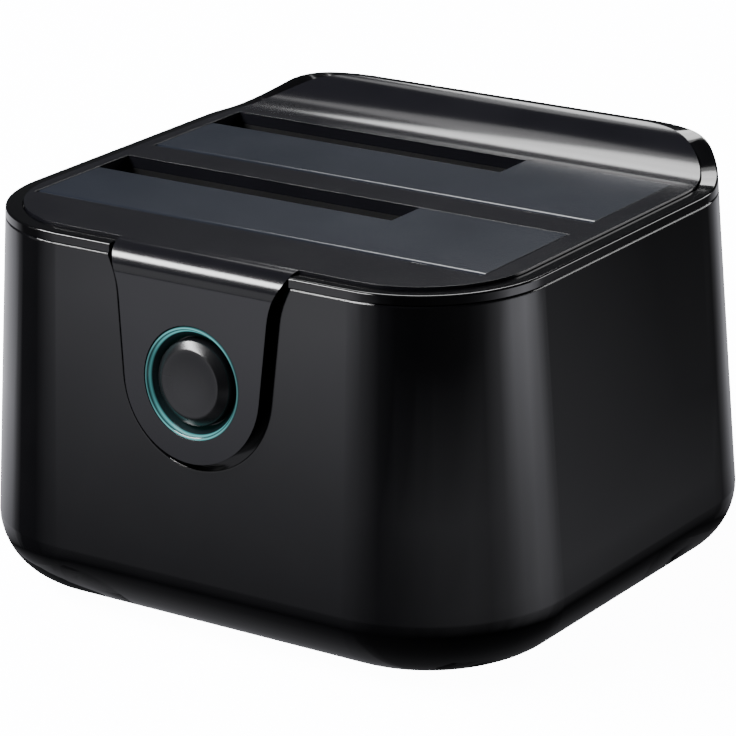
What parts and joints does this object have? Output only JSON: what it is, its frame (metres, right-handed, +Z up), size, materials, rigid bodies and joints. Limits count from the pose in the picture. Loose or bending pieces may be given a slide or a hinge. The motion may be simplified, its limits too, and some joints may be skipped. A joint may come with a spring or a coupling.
{
  "type": "drive duplicator",
  "caption": "Two-bay drive dock with a drafted glossy case, satin top panel with L-shaped bay flaps, a tongue with a lit start button, and rear sockets.",
  "frame": {"origin": "middle of the object in plan, on the surface it stands on", "axes": "+Z up; -Y towards the front, where the start button is; +X to the right as seen from the front"},
  "size_m": [0.126, 0.1164, 0.0823],
  "materials": {
    "gloss_shell": "polished black ABS",
    "satin_panel": "fine satin texture",
    "flap_satin": "fine satin texture, slightly bluer than the panel",
    "guide_black": "as moulded",
    "base_black": "as moulded, fine spark texture",
    "foot_rubber": "matt",
    "steel": "zinc plated",
    "plated_steel": "nickel plated",
    "gold_contacts": "gold flashed",
    "can_aluminium": "smooth",
    "board": "solder mask",
    "chip_epoxy": "moulded epoxy",
    "ferrite": "sintered ferrite",
    "socket_black": "moulded nylon",
    "rocker_black": "moulded, polished",
    "ring_light": "clear moulding lit from behind in teal",
    "gloss_cap": "semi-gloss",
    "led_white": "clear resin",
    "white_nylon": "moulded nylon",
    "flat_cable": "laminated polyester"
  },
  "bodies": {
    "case": {"outer_shell": "gloss_shell", "top_rim": "gloss_shell", "top_panel": "satin_panel", "base_plate": "base_black", "rubber_feet": "foot_rubber", "case_screws": "steel", "guide_screws": "steel", "button_screws": "steel", "main_board": "board", "controller_chips": "chip_epoxy", "board_capacitors": "can_aluminium", "power_inductors": "ferrite", "usb_port_shell": "plated_steel", "usb_port_insert": "socket_black", "dc_jack_body": "socket_black", "dc_jack_pin": "plated_steel", "power_switch_body": "socket_black", "light_ring": "ring_light", "button_switch": "plated_steel", "button_board": "board", "ring_leds": "led_white", "usb_contacts": "gold_contacts", "cable_headers": "white_nylon", "button_cable": "flat_cable", "front_drive_guide": "guide_black", "front_flap_pin": "steel", "front_flap_spring": "steel", "front_sata_connector": "socket_black", "front_sata_contacts": "gold_contacts", "rear_drive_guide": "guide_black", "rear_flap_pin": "steel", "rear_flap_spring": "steel", "rear_sata_connector": "socket_black", "rear_sata_contacts": "gold_contacts"},
    "front_flap": {"front_flap": "flap_satin"},
    "rear_flap": {"rear_flap": "flap_satin"},
    "button": {"button_cap": "gloss_cap", "switch_plunger": "socket_black"},
    "rocker": {"power_rocker": "rocker_black"}
  },
  "joints": [
    {"name": "front_flap_hinge", "type": "hinge", "parent": "case", "child": "front_flap", "pos_m": [-0.001, -0.03351, 0.0753], "axis": [-1, 0, 0], "range_deg": [0, 88], "stiffness_Nm_per_rad": 0.002, "springref_deg": -45.84, "deforming": ["front_flap_spring"]},
    {"name": "rear_flap_hinge", "type": "hinge", "parent": "case", "child": "rear_flap", "pos_m": [-0.001, 0.00409, 0.0753], "axis": [-1, 0, 0], "range_deg": [0, 88], "stiffness_Nm_per_rad": 0.002, "springref_deg": -45.84, "deforming": ["rear_flap_spring"]},
    {"name": "button_press", "type": "slide", "parent": "case", "child": "button", "axis": [0, 0.9979, -0.0645], "range_m": [0, 0.001], "stiffness_N_per_m": 800, "springref_m": -0.0004},
    {"name": "rocker_pivot", "type": "hinge", "parent": "case", "child": "rocker", "pos_m": [0.022, 0.05414, 0.0208], "axis": [-1, 0, 0], "range_deg": [0, 22]}
  ]
}
